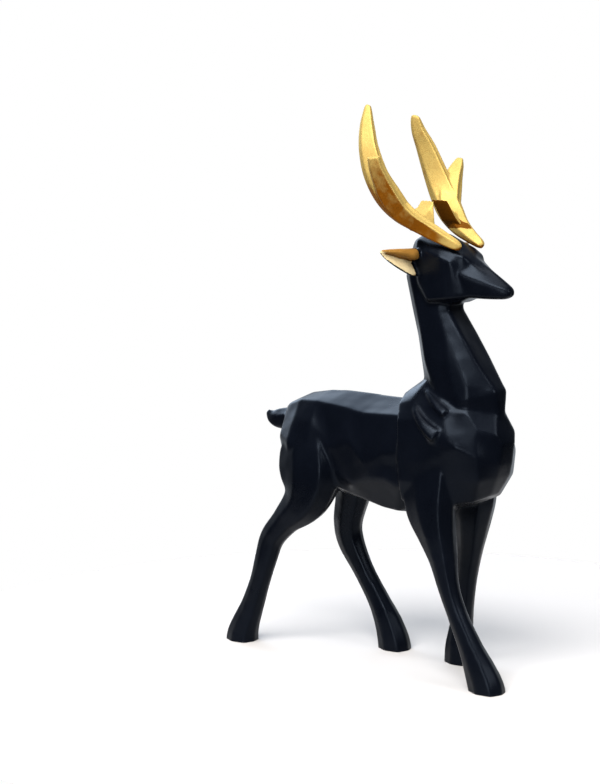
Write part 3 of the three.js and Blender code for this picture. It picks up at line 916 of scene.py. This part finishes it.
def floor_mesh(reach):
    """A round table top: ring i of the grid lies at reach * i / FLOOR_RINGS from the middle, spoke
    j at the turn 2 pi j / FLOOR_SPOKES, and z is 0."""
    radius = reach * np.arange(1, FLOOR_RINGS + 1) / FLOOR_RINGS
    turn = 2 * np.pi * np.arange(FLOOR_SPOKES) / FLOOR_SPOKES
    x, y = radius[:, None] * np.cos(turn), radius[:, None] * np.sin(turn)
    points = np.stack([x, y, np.zeros_like(x)], -1).reshape(-1, 3)
    points = np.vstack([np.zeros((1, 3)), points])
    index = 1 + np.arange(FLOOR_RINGS * FLOOR_SPOKES).reshape(FLOOR_RINGS, FLOOR_SPOKES)
    after = np.roll(index, -1, 1)
    quads = np.stack([index[:-1], index[1:], after[1:], after[:-1]], -1).reshape(-1, 4)
    hub = np.stack([np.zeros(FLOOR_SPOKES, int), index[0], after[0]], -1)
    mesh = bpy.data.meshes.new("floor")
    mesh.from_pydata(points, [], [*quads.tolist(), *hub.tolist()])
    return mesh


def aim(obj, target):
    """Turns a light or the camera so that it looks at target."""
    obj.rotation_euler = (Vector(target) - obj.location).to_track_quat("-Z", "Y").to_euler()


def softbox(name, place, width, height, power, tint):
    """A rectangular area light that looks at the stag's chest."""
    light = bpy.data.lights.new(name, "AREA")
    light.shape = "RECTANGLE"
    light.size, light.size_y = width, height
    light.energy, light.color = power, tint
    obj = bpy.data.objects.new(name, light)
    obj.location = place
    bpy.context.scene.collection.objects.link(obj)
    aim(obj, LIGHT_AIM)


def heading(azimuth, elevation):
    """Unit vector from the stag towards a camera at that azimuth and elevation."""
    a, e = np.radians(azimuth), np.radians(elevation)
    return np.array([np.sin(a) * np.cos(e), -np.cos(a) * np.cos(e), np.sin(e)])


def lay_floor(settings):
    """The pale paper that the stag stands on."""
    floor = bpy.data.objects.new("floor", floor_mesh(settings.reach))
    bpy.context.scene.collection.objects.link(floor)
    nodes = Nodes("floor_paper")
    nodes.shader.inputs["Base Color"].default_value = settings.floor
    nodes.shader.inputs["Roughness"].default_value = 0.9
    nodes.shader.inputs["Specular IOR Level"].default_value = 0.1
    floor.data.materials.append(nodes.material)


def stand_camera(settings, back):
    """The camera, at `distance` along `back` from the point that it looks at."""
    turn = np.radians(settings.azimuth)
    right = np.array([np.cos(turn), np.sin(turn), 0.0])
    target = right * CAMERA_AIM_RIGHT + np.array([FORWARD_SHIFT * MM, 0, CAMERA_AIM_Z])
    camera = bpy.data.objects.new("camera", bpy.data.cameras.new("camera"))
    camera.data.lens = settings.lens
    camera.data.sensor_width = SENSOR_WIDTH
    camera.data.clip_end = 50.0
    camera.location = target + back * settings.distance
    bpy.context.scene.collection.objects.link(camera)
    aim(camera, target)
    bpy.context.scene.camera = camera


def light_room(back):
    """The room's own light: faint on the camera's side and stronger behind the stag, smoothly by
    the share of each direction that points away from the camera. The camera sees it as white."""
    level = np.array([back[0], back[1], 0.0])
    level /= np.linalg.norm(level)
    world = bpy.data.worlds.new("studio")
    bpy.context.scene.world = world
    world.use_nodes = True
    tree = world.node_tree
    dim = tree.nodes["Background"]
    dim.inputs["Color"].default_value = ROOM_TINT
    away = tree.nodes.new("ShaderNodeVectorMath")
    away.operation = "DOT_PRODUCT"
    away.inputs[1].default_value = tuple(-level)
    tree.links.new(tree.nodes.new("ShaderNodeTexCoord").outputs["Generated"], away.inputs[0])
    fade = tree.nodes.new("ShaderNodeMapRange")
    fade.interpolation_type = "SMOOTHSTEP"
    for name, value in ROOM_FADE.items():
        fade.inputs[name].default_value = value
    tree.links.new(away.outputs["Value"], fade.inputs["Value"])
    tree.links.new(fade.outputs[0], dim.inputs["Strength"])
    pale = tree.nodes.new("ShaderNodeBackground")
    pale.inputs["Color"].default_value = (*WHITE, 1.0)
    seen = tree.nodes.new("ShaderNodeLightPath")
    choice = tree.nodes.new("ShaderNodeMixShader")
    tree.links.new(seen.outputs["Is Camera Ray"], choice.inputs[0])
    tree.links.new(dim.outputs[0], choice.inputs[1])
    tree.links.new(pale.outputs[0], choice.inputs[2])
    tree.links.new(choice.outputs[0], tree.nodes["World Output"].inputs[0])


class STAG_OT_stage(bpy.types.Operator):
    """Makes the floor, the soft lights and the camera"""

    bl_idname = "stag.stage"
    bl_label = "Floor, lights and camera"

    def execute(self, context):
        settings = context.scene.stag_stage
        back = heading(settings.azimuth, settings.elevation)
        lay_floor(settings)
        stand_camera(settings, back)
        for light in LIGHTS:
            softbox(*light)
        light_room(back)
        context.scene.view_settings.view_transform = "Standard"
        return {"FINISHED"}


class STAG_PT_figurine(bpy.types.Panel):
    """Lists the figurine's pieces and their settings"""

    bl_label = "Resin stag"
    bl_idname = "STAG_PT_figurine"
    bl_space_type = "VIEW_3D"
    bl_region_type = "UI"
    bl_category = "Stag"

    def draw(self, context):
        scene = context.scene
        groups = (
            (scene.stag_casting, "stag.casting"),
            (scene.stag_antlers, "stag.antlers"),
            (scene.stag_stage, "stag.stage"),
        )
        for group, operator in groups:
            box = self.layout.box()
            for name in group.bl_rna.properties.keys():
                if name not in ("rna_type", "name"):
                    box.prop(group, name)
            box.operator(operator)


CLASSES = (
    CastingSettings,
    AntlerSettings,
    StageSettings,
    STAG_OT_casting,
    STAG_OT_antlers,
    STAG_OT_stage,
    STAG_PT_figurine,
)


def register():
    for cls in CLASSES:
        bpy.utils.register_class(cls)
    bpy.types.Scene.stag_casting = bpy.props.PointerProperty(type=CastingSettings)
    bpy.types.Scene.stag_antlers = bpy.props.PointerProperty(type=AntlerSettings)
    bpy.types.Scene.stag_stage = bpy.props.PointerProperty(type=StageSettings)


def unregister():
    for name in ("stag_casting", "stag_antlers", "stag_stage"):
        delattr(bpy.types.Scene, name)
    for cls in reversed(CLASSES):
        bpy.utils.unregister_class(cls)


def main():
    """Builds every piece in order."""
    register()
    bpy.ops.stag.casting()
    bpy.ops.stag.antlers()
    bpy.ops.stag.stage()


if __name__ == "__main__":
    main()
